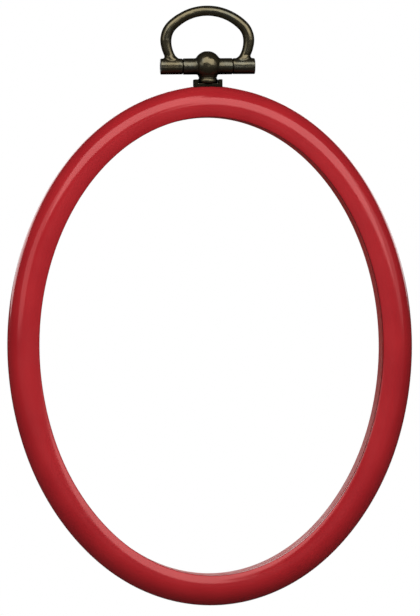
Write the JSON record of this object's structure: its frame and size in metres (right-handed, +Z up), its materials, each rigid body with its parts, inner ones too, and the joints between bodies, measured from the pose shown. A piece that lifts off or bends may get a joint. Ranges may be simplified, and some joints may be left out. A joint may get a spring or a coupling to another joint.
{
  "type": "embroidery hoop",
  "caption": "Small oval spring hoop for embroidery: soft rounded outer hoop with a front lip, rigid inner hoop, and a cast metal hanger with a hinged D-shaped bail.",
  "frame": {"origin": "the hanging point: the underside of the bail's top, where a nail bears, on the hanger's upright axis", "axes": "+Z up along the hoop's long axis, -Y towards the viewer of the rounded front, +Y out of the flat back, +X to the right seen from the front"},
  "size_m": [0.085, 0.0088, 0.1256],
  "materials": {
    "red_vinyl": "glossy moulded soft vinyl",
    "red_plastic": "satin moulded rigid plastic",
    "antique_brass": "darkened antique finish, rubbed bright on the high places",
    "pin_steel": "darkened",
    "screw_steel": "zinc plated"
  },
  "bodies": {
    "bail": {"bail": "antique_brass", "hinge_pin": "pin_steel"},
    "hoop": {"outer_hoop": "red_vinyl", "hanger_post": "antique_brass", "saddle_plate": "antique_brass", "fixing_screw": "screw_steel", "screw_washer": "screw_steel"},
    "inner": {"inner_hoop": "red_plastic"}
  },
  "joints": [
    {"name": "bail_pivot", "type": "hinge", "parent": "bail", "child": "hoop", "pos_m": [0, 0, -0.0105], "axis": [1, 0, 0], "range_deg": [-135, 115]},
    {"name": "inner_hoop_slide", "type": "slide", "parent": "hoop", "child": "inner", "axis": [0, 1, 0], "range_m": [0, 0.012]}
  ]
}
